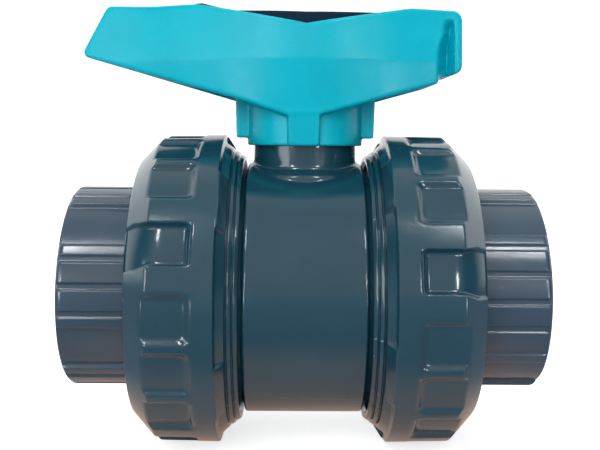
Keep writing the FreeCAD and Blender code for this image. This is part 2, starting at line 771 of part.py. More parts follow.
def free_form(label, shape):
    """A piece whose shape is made with Part's own functions."""
    feature = doc.addObject("Part::Feature", label)
    feature.Label = label
    feature.Shape = shape
    place(feature, z="nut_radius")
    return feature


# ---------------------------------------------------------------- assembly


def build_assembly():
    """Every piece of the valve, in assembly order."""
    body = valve_body()
    left_connector = end_connector("end_connector_left", 7.0)
    right_connector = end_connector("end_connector_right", 90.0)
    left_nut = union_nut("union_nut_left", -90.0 + 22.7, -90.0 + 8.0)
    right_nut = union_nut("union_nut_right", 90.0 - 12.6, 90.0 - 14.0)
    for piece in (left_connector, left_nut):
        mirror_side(piece)
    for piece in (right_connector, right_nut):
        place(piece, z="nut_radius")
    groove_middle = "seat_back + cushion_groove / 2"
    face_middle = "body_half + face_gap + face_groove / 2"
    stem_ring_radius = "(stem_groove_root + stem_bore_radius) / 2"
    return [
        body,
        ball(),
        seat("ball_seat_left", -1),
        seat("ball_seat_right", 1),
        ring("seat_cushion_o_ring_left", "cushion_cord", "cushion_radius", f"-({groove_middle})", "X"),
        ring("seat_cushion_o_ring_right", "cushion_cord", "cushion_radius", groove_middle, "X"),
        seat_carrier(),
        ring("seat_carrier_o_ring", "carrier_ring_cord", "cavity_radius - carrier_groove_depth / 2",
             "carrier_front + 1.5 * carrier_groove_width", "X"),
        stem(),
        stem_thrust_washer(),
        ring("stem_o_ring_lower", "stem_ring_cord", stem_ring_radius,
             "(stem_groove_lower + stem_groove_width / 2)", "Z"),
        ring("stem_o_ring_upper", "stem_ring_cord", stem_ring_radius,
             "(stem_groove_upper + stem_groove_width / 2)", "Z"),
        left_connector,
        right_connector,
        ring("face_o_ring_left", "face_ring_cord", "face_ring_radius", f"-({face_middle})", "X"),
        ring("face_o_ring_right", "face_ring_cord", "face_ring_radius", face_middle, "X"),
        left_nut,
        right_nut,
        free_form("handle", handle()),
        free_form("key_insert", key_insert()),
    ]


def check_document():
    """Stop if any object of the document failed to build."""
    for item in doc.Objects:
        if "Invalid" in item.State or "Error" in item.State:
            raise RuntimeError(f"{item.Name} failed: {item.State}")


def export(pieces):
    """Check each piece and write it as its own STEP file."""
    os.makedirs("parts", exist_ok=True)
    for piece in pieces:
        shape = piece.Shape
        if shape.isNull() or not shape.isValid() or not shape.Solids:
            raise RuntimeError(f"{piece.Label} has no valid solid")
        print(piece.Label, len(shape.Solids), round(shape.Volume, 1))
        shape.exportStep(f"parts/{piece.Label}.step")


pieces = build_assembly()
doc.recompute()
check_document()
export(pieces)
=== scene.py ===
import math

import bpy
import numpy as np
from mathutils import Euler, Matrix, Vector


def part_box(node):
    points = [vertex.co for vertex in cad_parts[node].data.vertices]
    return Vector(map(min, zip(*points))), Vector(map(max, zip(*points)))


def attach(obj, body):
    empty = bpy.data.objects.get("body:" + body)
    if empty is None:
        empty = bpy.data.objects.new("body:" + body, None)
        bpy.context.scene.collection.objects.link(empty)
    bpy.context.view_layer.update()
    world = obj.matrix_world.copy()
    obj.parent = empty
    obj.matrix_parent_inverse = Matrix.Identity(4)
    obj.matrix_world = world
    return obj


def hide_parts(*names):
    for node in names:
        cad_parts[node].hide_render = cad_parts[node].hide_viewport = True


# The looks of a double union ball valve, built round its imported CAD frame.
# Shapes are worked out in millimetres. X runs along the pipe and Z along the stem.
# In a shape's own formulas Z is measured from the pipe axis, and a turn is an angle about the
# pipe that starts at the top and grows towards the front.

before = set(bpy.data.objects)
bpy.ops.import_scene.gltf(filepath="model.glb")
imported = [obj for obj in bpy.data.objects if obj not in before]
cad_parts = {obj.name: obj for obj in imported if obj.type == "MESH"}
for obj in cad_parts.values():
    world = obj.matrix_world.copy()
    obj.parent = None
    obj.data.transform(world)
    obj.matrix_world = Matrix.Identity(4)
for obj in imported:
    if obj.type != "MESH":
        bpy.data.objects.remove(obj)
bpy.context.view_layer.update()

MM = 0.001
RING_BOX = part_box("face_o_ring_right")
AXIS_HEIGHT = (RING_BOX[0].z + RING_BOX[1].z) / 2 / MM
NUT_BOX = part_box("union_nut_right")
NUT_RADIUS = (NUT_BOX[1].z - NUT_BOX[0].z) / 2 / MM


# ---------------------------------------------------------------- small maths


def smooth_min(a, b, reach):
    """The smaller of two fields, with the corner between them rounded over reach."""
    share = np.clip(0.5 + 0.5 * (b - a) / reach, 0, 1)
    return b * (1 - share) + a * share - reach * share * (1 - share)


def smooth_max(a, b, reach):
    return -smooth_min(-a, -b, reach)


def ease(value, low, high):
    """0 below low and 1 above high, with a smooth step between."""
    share = np.clip((value - low) / (high - low), 0, 1)
    return share * share * (3 - 2 * share)


def ramp(value, reach):
    """0 below 0 and value above it, with the bend rounded over reach."""
    return np.clip(smooth_max(value, 0 * value, reach), 0, 5)


def wrapped(angle):
    """An angle in degrees brought between -180 and 180."""
    return (angle + 180) % 360 - 180


def curve_through(x, knots):
    """A smooth curve through (x, y) knots, level past both ends."""
    knot_x, knot_y = (np.array(column, float) for column in zip(*knots))
    slopes = np.gradient(knot_y, knot_x)
    x = np.clip(x, knot_x[0], knot_x[-1])
    index = np.clip(np.searchsorted(knot_x, x) - 1, 0, len(knot_x) - 2)
    span = knot_x[index + 1] - knot_x[index]
    t = (x - knot_x[index]) / span
    return (
        (2 * t**3 - 3 * t**2 + 1) * knot_y[index]
        + (t**3 - 2 * t**2 + t) * span * slopes[index]
        + (3 * t**2 - 2 * t**3) * knot_y[index + 1]
        + (t**3 - t**2) * span * slopes[index + 1]
    )


def rounded_outline(corners, step):
    """Points round a closed outline of (across, up, radius) corners. Each corner becomes an arc,
    and points crowd towards the arcs, so that smooth shading stays flat between them."""
    spots = np.array([corner[:2] for corner in corners], float)
    pieces = []
    for index, corner in enumerate(spots):
        radius = corners[index][2]
        before = spots[index - 1] - corner
        after = spots[(index + 1) % len(spots)] - corner
        before_length, after_length = np.linalg.norm(before), np.linalg.norm(after)
        before, after = before / before_length, after / after_length
        half = math.acos(float(np.clip(before @ after, -1, 1))) / 2
        reach = min(radius / math.tan(half), 0.48 * before_length, 0.48 * after_length)
        radius = reach * math.tan(half)
        start, end = corner + before * reach, corner + after * reach
        if radius < 0.01:
            pieces.append(corner[None, :])
            continue
        middle = before + after
        centre = corner + middle / np.linalg.norm(middle) * radius / math.sin(half)
        turn = math.pi - 2 * half
        count = max(3, int(turn / 0.3) + 2)
        share = np.linspace(0, 1, count)[:, None]
        a, b = start - centre, end - centre
        arc = centre + (np.sin((1 - share) * turn) * a + np.sin(share * turn) * b) / math.sin(turn)
        pieces.append(arc)
    points = []
    for index, piece in enumerate(pieces):
        points.append(piece)
        start, end = piece[-1], pieces[(index + 1) % len(pieces)][0]
        length = np.linalg.norm(end - start)
        count = max(2, int(length / step) + 2)
        share = (1 - np.cos(np.linspace(0, math.pi, count + 1)))[1:-1, None] / 2
        points.append(start + share * (end - start))
    return np.concatenate(points)


def crowded_angles(edges, coarse, fine, reach):
    """Turns all the way round in degrees, closer together near the given edges."""
    ruler = np.linspace(-180, 180, 14401)
    density = np.full_like(ruler, 1 / coarse)
    for edge in edges:
        density += (1 / fine) * np.exp(-((wrapped(ruler - edge) / reach) ** 2))
    total = np.concatenate([[0], np.cumsum((density[1:] + density[:-1]) / 2 * np.diff(ruler))])
    count = int(total[-1])
    return np.interp(np.arange(count) * total[-1] / count, total, ruler)


# ---------------------------------------------------------------- meshes

NUDGE = 0.02
SETTLING_STEPS = 4


def new_piece(name, vertices, faces, material, body):
    """A smooth shaded mesh from millimetre vertices. It rides on a CAD body, in place of the CAD
    node that has its name without _look."""
    mesh = bpy.data.meshes.new(name)
    vertices = np.asarray(vertices, float) * MM
    mesh.from_pydata(vertices.tolist(), [], faces.tolist())
    mesh.validate()
    mesh.shade_smooth()
    mesh.materials.append(material)
    piece = bpy.data.objects.new(name, mesh)
    bpy.context.scene.collection.objects.link(piece)
    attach(piece, body)
    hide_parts(name.replace("_look", ""))


def turned(outline, angles, side, skin):
    """A closed outline of (along, radius) swept round the pipe. skin(along, radius, turn) may
    change each radius. side is +1 or -1, the end of the pipe that the piece is on."""
    along = outline[:, 0][:, None] + 0 * angles[None, :]
    radius = skin(along, outline[:, 1][:, None] + 0 * along, 0 * along + angles[None, :])
    turn = np.radians(angles)[None, :]
    vertices = np.stack(
        [side * along, -radius * np.sin(turn), AXIS_HEIGHT + radius * np.cos(turn)], -1
    ).reshape(-1, 3)
    rows, columns = along.shape
    row, column = np.meshgrid(np.arange(rows), np.arange(columns), indexing="ij")
    next_row, next_column = (row + 1) % rows, (column + 1) % columns
    quads = np.stack(
        [
            row * columns + column,
            row * columns + next_column,
            next_row * columns + next_column,
            next_row * columns + column,
        ],
        -1,
    ).reshape(-1, 4)
    return vertices, quads if side > 0 else quads[:, ::-1]


def surface_net(field, low, high, cell):
    """The surface where field(x, y, z) is zero, as one vertex per crossed cell. The field is
    negative inside, and every vertex is then moved onto the surface along the field's slope."""
    axes = [np.arange(a, b + cell, cell) for a, b in zip(low, high)]
    x, y, z = np.meshgrid(*axes, indexing="ij", sparse=True)
    value = np.broadcast_to(field(x, y, z), [len(axis) for axis in axes]).astype(np.float32)
    inside = value < 0
    shape = tuple(size - 1 for size in value.shape)
    steps = [(i, j, k) for i in (0, 1) for j in (0, 1) for k in (0, 1)]

    def corner(array, step):
        return array[tuple(slice(s, s + size) for s, size in zip(step, shape))]

    # Each vertex starts at the mean of its cell's crossed edges.
    count = sum(corner(inside, step).astype(np.int8) for step in steps)
    cells = np.argwhere((count > 0) & (count < 8))
    corners = {step: value[tuple((cells + step).T)] for step in steps}
    total, crossings = np.zeros((len(cells), 3)), np.zeros(len(cells))
    for axis in range(3):
        for first in [step for step in steps if step[axis] == 0]:
            second = tuple(s + (n == axis) for n, s in enumerate(first))
            a, b = corners[first], corners[second]
            crossed = (a < 0) != (b < 0)
            share = np.where(crossed, a / np.where(crossed, a - b, 1), 0)
            spot = np.array(first, float) + share[:, None] * np.eye(3)[axis]
            total += np.where(crossed[:, None], spot, 0)
            crossings += crossed
    spots = np.array(low, float) + (cells + total / crossings[:, None]) * cell
    number = np.full(shape, -1, np.int64)
    number[tuple(cells.T)] = np.arange(len(cells))
    # Each crossed grid edge inside the box gives one face between the four cells round it.
    faces = []
    for axis in range(3):
        across, up = (axis + 1) % 3, (axis + 2) % 3
        first = inside[tuple(slice(0, -1) if n == axis else slice(1, -1) for n in range(3))]
        second = inside[tuple(slice(1, None) if n == axis else slice(1, -1) for n in range(3))]
        edge = np.argwhere(first != second)
        leaving = first[tuple(edge.T)]
        edge[:, across] += 1
        edge[:, up] += 1
        ring = []
        for back_across, back_up in ((1, 1), (0, 1), (0, 0), (1, 0)):
            near = edge.copy()
            near[:, across] -= back_across
            near[:, up] -= back_up
            ring.append(number[tuple(near.T)])
        quads = np.stack(ring, -1)
        faces.append(np.where(leaving[:, None], quads, quads[:, ::-1]))
    for _ in range(SETTLING_STEPS):
        here = field(*spots.T)
        changes = []
        for step in np.eye(3) * NUDGE:
            changes.append(field(*(spots + step).T) - field(*(spots - step).T))
        slope = np.stack(changes, -1) / (2 * NUDGE)
        move = here[:, None] * slope / np.maximum((slope**2).sum(1), 0.2)[:, None]
        spots -= np.clip(move, -0.4 * cell, 0.4 * cell)
    spots[:, 2] += AXIS_HEIGHT
    return spots, np.concatenate(faces)


def outline_field(corners, cell=0.3, margin=12.0):
    """A function of (across, up) that gives the distance outside a rounded closed outline."""
    points = rounded_outline(corners, 4.0)
    low, high = points.min(0) - margin, points.max(0) + margin
    across = np.arange(low[0], high[0] + cell, cell)
    up = np.arange(low[1], high[1] + cell, cell)
    u, v = np.meshgrid(across, up, indexing="ij")
    nearest = np.full(u.shape, 1e9)
    winding = np.zeros(u.shape, bool)
    for start, end in zip(points, np.roll(points, -1, axis=0)):
        run = end - start
        if run @ run < 1e-12:
            continue
        share = np.clip(((u - start[0]) * run[0] + (v - start[1]) * run[1]) / (run @ run), 0, 1)
        gap = (u - start[0] - share * run[0]) ** 2 + (v - start[1] - share * run[1]) ** 2
        nearest = np.minimum(nearest, gap)
        if start[1] != end[1]:
            spans = (start[1] > v) != (end[1] > v)
            winding ^= spans & (u < start[0] + (v - start[1]) * run[0] / run[1])
    table = np.where(winding, -np.sqrt(nearest), np.sqrt(nearest))

    def distance(a, b):
        a, b = np.broadcast_arrays(a, b)
        p = np.clip((a - low[0]) / cell, 0, len(across) - 1.001)
        q = np.clip((b - low[1]) / cell, 0, len(up) - 1.001)
        i, j = p.astype(int), q.astype(int)
        s, t = p - i, q - j
        return (
            table[i, j] * (1 - s) * (1 - t)
            + table[i + 1, j] * s * (1 - t)
            + table[i, j + 1] * (1 - s) * t
            + table[i + 1, j + 1] * s * t
        )

    return distance


# ---------------------------------------------------------------- materials


def node(tree, kind, **inputs):
    """A shader node with its inputs set or linked. A key like input_1 counts instead of naming."""
    made = tree.nodes.new(kind)
    for key, value in inputs.items():
        if key.startswith("set_"):
            setattr(made, key[4:], value)
            continue
        if key.startswith("input_"):
            socket = made.inputs[int(key[6:])]
        else:
            socket = made.inputs[key.replace("_", " ")]
        if isinstance(value, bpy.types.NodeSocket):
            tree.links.new(value, socket)
        else:
            socket.default_value = value
    return made


def noise(tree, place, scale, detail=3.0, stretch=None):
    """Noise in metres of the object. stretch makes its grains longer along an axis."""
    if stretch:
        place = node(tree, "ShaderNodeMapping", Vector=place, Scale=stretch).outputs["Vector"]
    return node(tree, "ShaderNodeTexNoise", Vector=place, Scale=scale, Detail=detail).outputs["Fac"]


def between(tree, factor, low, high, low_out, high_out):
    """A factor mapped from one range to another, clamped."""
    ranges = {"From_Min": low, "From_Max": high, "To_Min": low_out, "To_Max": high_out}
    return node(tree, "ShaderNodeMapRange", Value=factor, **ranges).outputs["Result"]


def maths(tree, operation, *values):
    """The result of a Math node, whose inputs are numbers or sockets."""
    inputs = {f"input_{index}": value for index, value in enumerate(values)}
    return node(tree, "ShaderNodeMath", set_operation=operation, **inputs).outputs[0]


def blend_colours(tree, factor, first, second):
    """The first colour where the factor is 0 and the second where it is 1."""
    mix = tree.nodes.new("ShaderNodeMix")
    mix.data_type = "RGBA"
    for socket, value in zip((mix.inputs[0], mix.inputs[6], mix.inputs[7]), (factor, first, second)):
        if isinstance(value, bpy.types.NodeSocket):
            tree.links.new(value, socket)
        else:
            socket.default_value = value if isinstance(value, float) else (*value[:3], 1.0)
    return mix.outputs[2]


def shade(colour, amount):
    """A colour made darker, or lighter up to white."""
    return tuple(min(1.0, channel * amount) for channel in colour)


CLOUD_SCALE, PATCH_SCALE, PEEL_SCALE = 45.0, 110.0, 260.0
RUB_SCALE, SCUFF_SCALE, SPECK_SCALE = 700.0, 900.0, 2600.0
SCUFF_STRETCH = (0.12, 1.0, 1.0)
SCUFF_ROUGHNESS = 0.05
SPECK_SHARE = 0.18
PALE_EDGE = 0.6


def moulded(name, colour, roughness, mottle=0.06, grain=0.03, edge=0.25, ior=1.5, soft=None):
    """Moulded plastic or rubber. Cloudy colour, grain, fine scuffs in its sheen, and paler edges.
    soft rounds the shading of sharp edges over that many millimetres."""
    material = bpy.data.materials.new(name)
    material.use_nodes = True
    tree = material.node_tree
    shader = tree.nodes["Principled BSDF"]
    place = node(tree, "ShaderNodeTexCoord").outputs["Object"]
    cloud = between(tree, noise(tree, place, CLOUD_SCALE, 4.0), 0.3, 0.7, 0.0, 1.0)
    base = blend_colours(tree, cloud, shade(colour, 1 - mottle), shade(colour, 1 + mottle))
    pointed = node(tree, "ShaderNodeNewGeometry").outputs["Pointiness"]
    corner = between(tree, pointed, 0.52, 0.62, 0.0, 1.0)
    rub = between(tree, noise(tree, place, RUB_SCALE, 2.0), 0.42, 0.62, 0.0, edge)
    worn = tuple((channel + PALE_EDGE) / 2 for channel in colour)
    base = blend_colours(tree, maths(tree, "MULTIPLY", corner, rub), base, worn)
    scuff = noise(tree, place, SCUFF_SCALE, 2.0, SCUFF_STRETCH)
    scuff = between(tree, scuff, 0.55, 0.75, 0.0, SCUFF_ROUGHNESS)
    patch = noise(tree, place, PATCH_SCALE, 3.0)
    patch = between(tree, patch, 0.3, 0.7, roughness * 0.82, roughness * 1.2)
    sheen = maths(tree, "ADD", patch, scuff)
    peel = noise(tree, place, PEEL_SCALE, 2.0)
    speck = noise(tree, place, SPECK_SCALE, 2.0)
    height = maths(tree, "MULTIPLY_ADD", speck, SPECK_SHARE, peel)
    bump = node(tree, "ShaderNodeBump", Height=height, Strength=grain, Distance=0.001)
    if soft:
        rounded = node(tree, "ShaderNodeBevel", set_samples=6, Radius=soft * MM)
        tree.links.new(rounded.outputs["Normal"], bump.inputs["Normal"])
    tree.links.new(base, shader.inputs["Base Color"])
    tree.links.new(sheen, shader.inputs["Roughness"])
    tree.links.new(bump.outputs["Normal"], shader.inputs["Normal"])
    shader.inputs["IOR"].default_value = ior
    return material


GREY = (0.008, 0.048, 0.073)
PALE_GREY = (0.029, 0.059, 0.090)
TEAL = (0.0, 0.43, 0.54)
NAVY = (0.001, 0.018, 0.042)
BALL_GREY = (0.11, 0.125, 0.14)
PTFE_WHITE = (0.8, 0.79, 0.76)
RUBBER_BLACK = (0.012, 0.012, 0.013)

pvc = moulded("grey_pvc", GREY, 0.15, mottle=0.08, grain=0.03)
pale_pvc = moulded("pale_grey_pvc", PALE_GREY, 0.2, mottle=0.08, grain=0.03)
pvc_inner = moulded("grey_pvc_inner", GREY, 0.24, soft=0.35)
teal = moulded("teal_plastic", TEAL, 0.28, mottle=0.05, grain=0.04, edge=0.15, ior=1.22)
black = moulded("black_plastic", NAVY, 0.55, mottle=0.1, grain=0.08, edge=0.1, ior=1.15)
ball_finish = moulded("ball_pvc", BALL_GREY, 0.1, mottle=0.04, grain=0.01, soft=0.4)
ptfe = moulded("white_ptfe", PTFE_WHITE, 0.38, mottle=0.03, grain=0.03, edge=0.0, soft=0.3)
rubber = moulded("black_rubber", RUBBER_BLACK, 0.5, mottle=0.15, grain=0.12, edge=0.1, soft=0.1)


# ---------------------------------------------------------------- union nuts

SHOULDER_START, SHOULDER_TOP = 51.5, NUT_RADIUS - 0.3
NUT_FACE, FACE_RADIUS = 60.0, 47.3
NUT_ROOT = 46.0
NUT_OUTLINE = [
    (22.4, 46.9, 0.2), (22.4, 48.9, 0.5), (23.8, 49.3, 0.45), (23.95, 48.3, 0.12),
    (24.35, 48.3, 0.12), (24.5, 50.2, 0.35), (25.8, 50.7, 0.45), (25.95, 49.6, 0.12),
    (26.35, 49.6, 0.12), (26.6, 52.1, 0.4), (29.4, NUT_RADIUS, 0.9),
    (SHOULDER_START, SHOULDER_TOP, 1.3), (NUT_FACE, FACE_RADIUS, 1.4), (NUT_FACE, 37.2, 0.7),
    (52.8, 37.2, 0.3), (52.8, NUT_ROOT, 0.4), (23.6, NUT_ROOT, 0.3),
]
# Four deep pockets run out over the shoulder, with three shallow pads between each pair.
QUARTERS = range(4)
POCKET_START, POCKET_DEPTH, POCKET_HALF, POCKET_EDGE = 38.4, 3.6, 6.9, 7.9
PADS = (-1, 0, 1)
PAD_START, PAD_DEPTH, PAD_HALF, PAD_EDGE, PAD_PITCH = 38.6, 1.9, 7.0, 7.7, 20.0
# The scallops are recesses in the rim that faces the barrel.
SCALLOPS = 5
SCALLOP_PITCH = 360 / SCALLOPS
SCALLOP_START, SCALLOP_END = 26.0, 29.4
SCALLOP_FLOOR, SCALLOP_RISE, SCALLOP_HALF = 51.0, 0.75, 23.8
UNION_LEAD, UNION_TURNS = 5.0, 3.0
NUT_CREST_START, NUT_CREST_WIDTH, NUT_CREST_HEIGHT = 27.4, 2.0, 2.2


def arc_length(angle, radius):
    """The length round the pipe of an angle in degrees, always positive."""
    return np.radians(np.abs(angle)) * radius


def ridge(along, turn, start, width):
    """How far a point is along the pipe from the middle of the thread's ridge, and how fully the
    ridge has risen there, from 0 past its ends to 1."""
    offset = along - start - width / 2 - UNION_LEAD * turn / 360
    lap = np.round(offset / UNION_LEAD)
    swept = turn / 360 + lap
    runs = ease(swept, 0.0, 0.12) * (1 - ease(swept, UNION_TURNS - 0.12, UNION_TURNS))
    return np.abs(offset - lap * UNION_LEAD), runs


def nut_skin(side, pocket_turn, scallop_turn):
    """The castellated outside and the threaded inside of a nut."""
    fall = (SHOULDER_TOP - FACE_RADIUS) / (NUT_FACE - SHOULDER_START)
    pocket_steepness, pad_steepness, scallop_steepness = 6.0, 1.25, 7.0

    def skin(along, radius, turn):
        outer = radius
        shoulder = SHOULDER_TOP - fall * (along - SHOULDER_START)
        for quarter in QUARTERS:
            away = arc_length(wrapped(turn - pocket_turn - 90 * quarter), NUT_RADIUS)
            widening = 0.34 * ramp(along - SHOULDER_START, 1.0)
            gap = smooth_max(away - POCKET_HALF - widening, POCKET_START - along, 1.6)
            floor = smooth_min(NUT_RADIUS - POCKET_DEPTH, shoulder - 1.2, 6.5)
            outer = smooth_min(outer, floor + pocket_steepness * ramp(gap, 0.25), 0.6)
            for number in PADS:
                middle = pocket_turn + 90 * quarter + 45 + number * PAD_PITCH
                beside = arc_length(wrapped(turn - middle), NUT_RADIUS) - PAD_HALF
                gap = smooth_max(beside, PAD_START - along, 2.6)
                wall = NUT_RADIUS - PAD_DEPTH + pad_steepness * ramp(gap, 0.8)
                outer = smooth_min(outer, wall, 0.7)
        for number in range(SCALLOPS):
            away = wrapped(turn - scallop_turn - SCALLOP_PITCH * number)
            beside = arc_length(away, NUT_RADIUS) - math.radians(SCALLOP_HALF) * NUT_RADIUS
            gap = smooth_max(beside, along - SCALLOP_END, 0.8)
            floor = SCALLOP_FLOOR + SCALLOP_RISE * (along - SCALLOP_START)
            outer = smooth_min(outer, floor + scallop_steepness * ramp(gap, 0.25), 0.4)
        beside, runs = ridge(along, side * turn, NUT_CREST_START, NUT_CREST_WIDTH)
        crest = NUT_ROOT - NUT_CREST_HEIGHT * runs * (1 - ease(beside, 0.45, 1.05))
        threaded = (np.abs(radius - NUT_ROOT) < 0.05) & (along > 24.5) & (along < 50.0)
        return np.where(threaded, crest, np.where(radius > NUT_ROOT + 1, outer, radius))

    return skin


def nut(name, side, pocket_turn, scallop_turn, body):
    """Union nut, with its sweep's steps crowded at the edges of its pockets, pads and scallops."""
    outline = rounded_outline(NUT_OUTLINE, 0.62)
    middles = [(pocket_turn + 90 * quarter, POCKET_EDGE) for quarter in QUARTERS]
    for quarter in QUARTERS:
        for number in PADS:
            middles.append((pocket_turn + 90 * quarter + 45 + number * PAD_PITCH, PAD_EDGE))
    for number in range(SCALLOPS):
        middles.append((scallop_turn + SCALLOP_PITCH * number, SCALLOP_HALF))
    edges = [middle + way * half for middle, half in middles for way in (-1, 1)]
    angles = crowded_angles(edges, 1.1, 0.33, 0.9)
    vertices, faces = turned(outline, angles, side, nut_skin(side, pocket_turn, scallop_turn))
    new_piece(name, vertices, faces, pvc, body)


nut("union_nut_left_look", -1, 67.9, 86.5, "nut_left")
nut("union_nut_right_look", 1, 76.6, 78.3, "nut_right")


# ---------------------------------------------------------------- end connectors

SLEEVE = 36.6
FLANGE_START, FLANGE_END, FLANGE_RADIUS = 43.1, 52.4, 42.6
SOCKET_RADIUS, BORE_RADIUS = 31.65, 26.0
SOCKET_BOTTOM, PIPE_END = 47.0, 85.0
CONNECTOR_OUTLINE = [
    (FLANGE_START, BORE_RADIUS, 0.3), (FLANGE_START, 33.4, 0.15), (46.1, 33.4, 0.15),
    (46.1, 36.6, 0.15), (FLANGE_START, 36.6, 0.15), (FLANGE_START, FLANGE_RADIUS, 0.6),
    (FLANGE_END, FLANGE_RADIUS, 0.5), (FLANGE_END, SLEEVE, 0.4), (PIPE_END, SLEEVE, 2.4),
    (PIPE_END, SOCKET_RADIUS, 0.8), (SOCKET_BOTTOM, SOCKET_RADIUS, 0.2),
    (SOCKET_BOTTOM, BORE_RADIUS, 0.5),
]
VALLEYS = [52.5, 127.5, 232.5, 307.5]
VALLEY_DEPTH, VALLEY_EDGE = 1.7, 14.5
GROOVES = [-30, -15, 0, 15, 30, 75, 90, 105]
GROOVE_DEPTH, GROOVE_EDGE = 0.8, 1.8


def connector(name, side, land_turn, body):
    """End connector with its lands, valleys and fine grooves running along the sleeve."""
    valleys = [side * (turn + land_turn) for turn in VALLEYS]
    grooves = [side * (turn + half + land_turn) for turn in GROOVES for half in (0, 180)]

    def skin(along, radius, turn):
        depth = 0 * turn
        for middle in valleys:
            beside = arc_length(wrapped(turn - middle), SLEEVE)
            depth = np.maximum(depth, VALLEY_DEPTH * (1 - ease(beside, 8.6, 9.8)))
        for middle in grooves:
            beside = arc_length(wrapped(turn - middle), SLEEVE)
            depth = np.maximum(depth, GROOVE_DEPTH * (1 - ease(beside, 0.75, 1.5)))
        carved = smooth_min(radius, SLEEVE - depth, 0.2)
        return np.where((along > FLANGE_END + 0.5) & (radius > 33.0), carved, radius)

    edges = [middle + way * VALLEY_EDGE for middle in valleys for way in (-1, 1)]
    edges += [middle + way * GROOVE_EDGE for middle in grooves for way in (-1, 1)]
    angles = crowded_angles(edges, 1.6, 0.5, 1.4)
    vertices, faces = turned(rounded_outline(CONNECTOR_OUTLINE, 2.5), angles, side, skin)
    new_piece(name, vertices, faces, pale_pvc, body)


connector("end_connector_left_look", -1, 7.0, "connector_left")
connector("end_connector_right_look", 1, 90.0, "connector_right")


# ---------------------------------------------------------------- valve body

BARREL, BARREL_HALF = 46.0, 21.0
BODY_HALF, BODY_ROOT = 43.0, 43.2
BODY_CREST_START, BODY_CREST_WIDTH, BODY_CREST_HEIGHT = 25.0, 2.4, 2.2
NECK, NECK_TOP = 18.85, 60.0
BOSS, BOSS_TOP = 22.9, 43.55
STEM_BORE = 11.0
STOP_SPREAD = 0.268
BODY_OUTLINE = [
    (-BODY_HALF, BORE_RADIUS, 0.4), (-BODY_HALF, BODY_ROOT, 0.8), (-BARREL_HALF, BODY_ROOT, 0.3),
    (-BARREL_HALF, BARREL, 0.9), (BARREL_HALF, BARREL, 0.9), (BARREL_HALF, BODY_ROOT, 0.3),
    (BODY_HALF, BODY_ROOT, 0.8), (BODY_HALF, 40.0, 0.3), (27.5, 40.0, 0.2), (27.5, 37.5, 0.2),
    (-24.0, 37.5, 0.2), (-24.0, 33.6, 0.2), (-29.5, 33.6, 0.2), (-29.5, BORE_RADIUS, 0.3),
]


def valve_body():
    """Threaded barrel with a neck on a low boss. The neck flows into both with small fillets."""
    turned_part = outline_field(BODY_OUTLINE)

    def field(x, y, z):
        radius = np.sqrt(y * y + z * z)
        shape = turned_part(x, radius)
        turn = np.degrees(np.arctan2(-y, z))
        for side in (-1, 1):
            for start in (turn, turn + 360 * (turn < 0)):
                beside, runs = ridge(side * x, side * start, BODY_CREST_START, BODY_CREST_WIDTH)
                crest = BODY_ROOT + BODY_CREST_HEIGHT * runs
                flank = beside - BODY_CREST_WIDTH / 2 + 0.28 * (radius - BODY_ROOT)
                rib = smooth_max(radius - crest, flank * 0.96, 0.35)
                rib = np.maximum(rib, BODY_ROOT - 1.2 - radius)
                shape = np.minimum(shape, np.maximum(rib, BARREL_HALF + 1 - side * x))
        out = np.sqrt(x * x + y * y)
        top = BOSS_TOP - 0.55 * np.clip(out - 20.0, 0, 9)
        boss = smooth_max(out - BOSS, (z - top) * 0.88, 1.2)
        boss = np.maximum(boss, 39.0 - z)
        shape = smooth_min(shape, boss, 0.5)
        fuller_below = 0.22 * (1 - ease(z, 52.8, 53.6))
        neck = smooth_max(out - NECK - fuller_below, z - NECK_TOP, 0.6)
        neck = np.maximum(neck, 39.5 - z)
        shape = smooth_min(shape, neck, 1.8)
        stop = smooth_max(out - 18.2, z - NECK_TOP - 2.5, 0.4)
        stop = np.maximum(stop, np.abs(y) - STOP_SPREAD * x)
        shape = np.minimum(shape, np.maximum(stop, NECK_TOP - 1 - z))
        bore = np.maximum(out - STEM_BORE, 36.0 - z)
        widened = np.maximum(out - STEM_BORE - 3.1, np.abs(z - 39.2) - 3.55)
        return smooth_max(shape, -np.minimum(bore, widened), 0.3)

    vertices, faces = surface_net(field, (-44.5, -47.5, -47.5), (44.5, 47.5, 63.8), 0.62)
    new_piece("valve_body_look", vertices, faces, pvc, "body")


valve_body()


# ---------------------------------------------------------------- handle and key insert

CREASE = 83.7
LEAN = math.tan(math.radians(8.5))
LEAN_ABOVE, LEAN_BELOW = 0.4 * LEAN, 1.15 * LEAN
WALL = 3.0
SCOOP_START, SCOOP_END, SCOOP_DEPTH = 47.0, 54.2, 6.2
SEAT_INSET = 4.7
SEAT_LEFT, SEAT_RIGHT = -41.0, 39.5
WEB_LOW, WEB_HIGH = 84.0, 87.0
HUB, HUB_LOW, HUB_CEILING = 21.6, 52.7, 60.5
LUG_REACH, LUG_HALF, RIB_HALF, RIB_TOP = 25.9, 5.7, 5.7, 65.5
SKIRT, SQUARE_HALF, SQUARE_TOP = 19.2, 7.6, 81.0
HALF_WIDTHS = [
    (-87.0, 0.9), (-62.0, 7.9), (-45.0, 15.4), (-25.0, 23.2), (0.0, 28.2), (25.0, 24.0),
    (48.0, 17.6), (61.0, 14.8),
]
SIDE_VIEW = [
    (-84.1, 86.1, 2.0), (-74.3, 104.1, 2.6), (-56.0, 103.2, 12.0), (-39.7, 103.2, 5.0),
    (0.0, 95.4, 1.0), (37.8, 102.1, 8.0), (56.5, 101.9, 3.2), (56.5, 80.1, 3.0),
    (48.8, 78.2, 1.0), (47.5, 75.9, 1.0), (5.0, 64.0, 0.0), (-6.4, 63.6, 0.0), (-24.4, 69.6, 8.0),
]
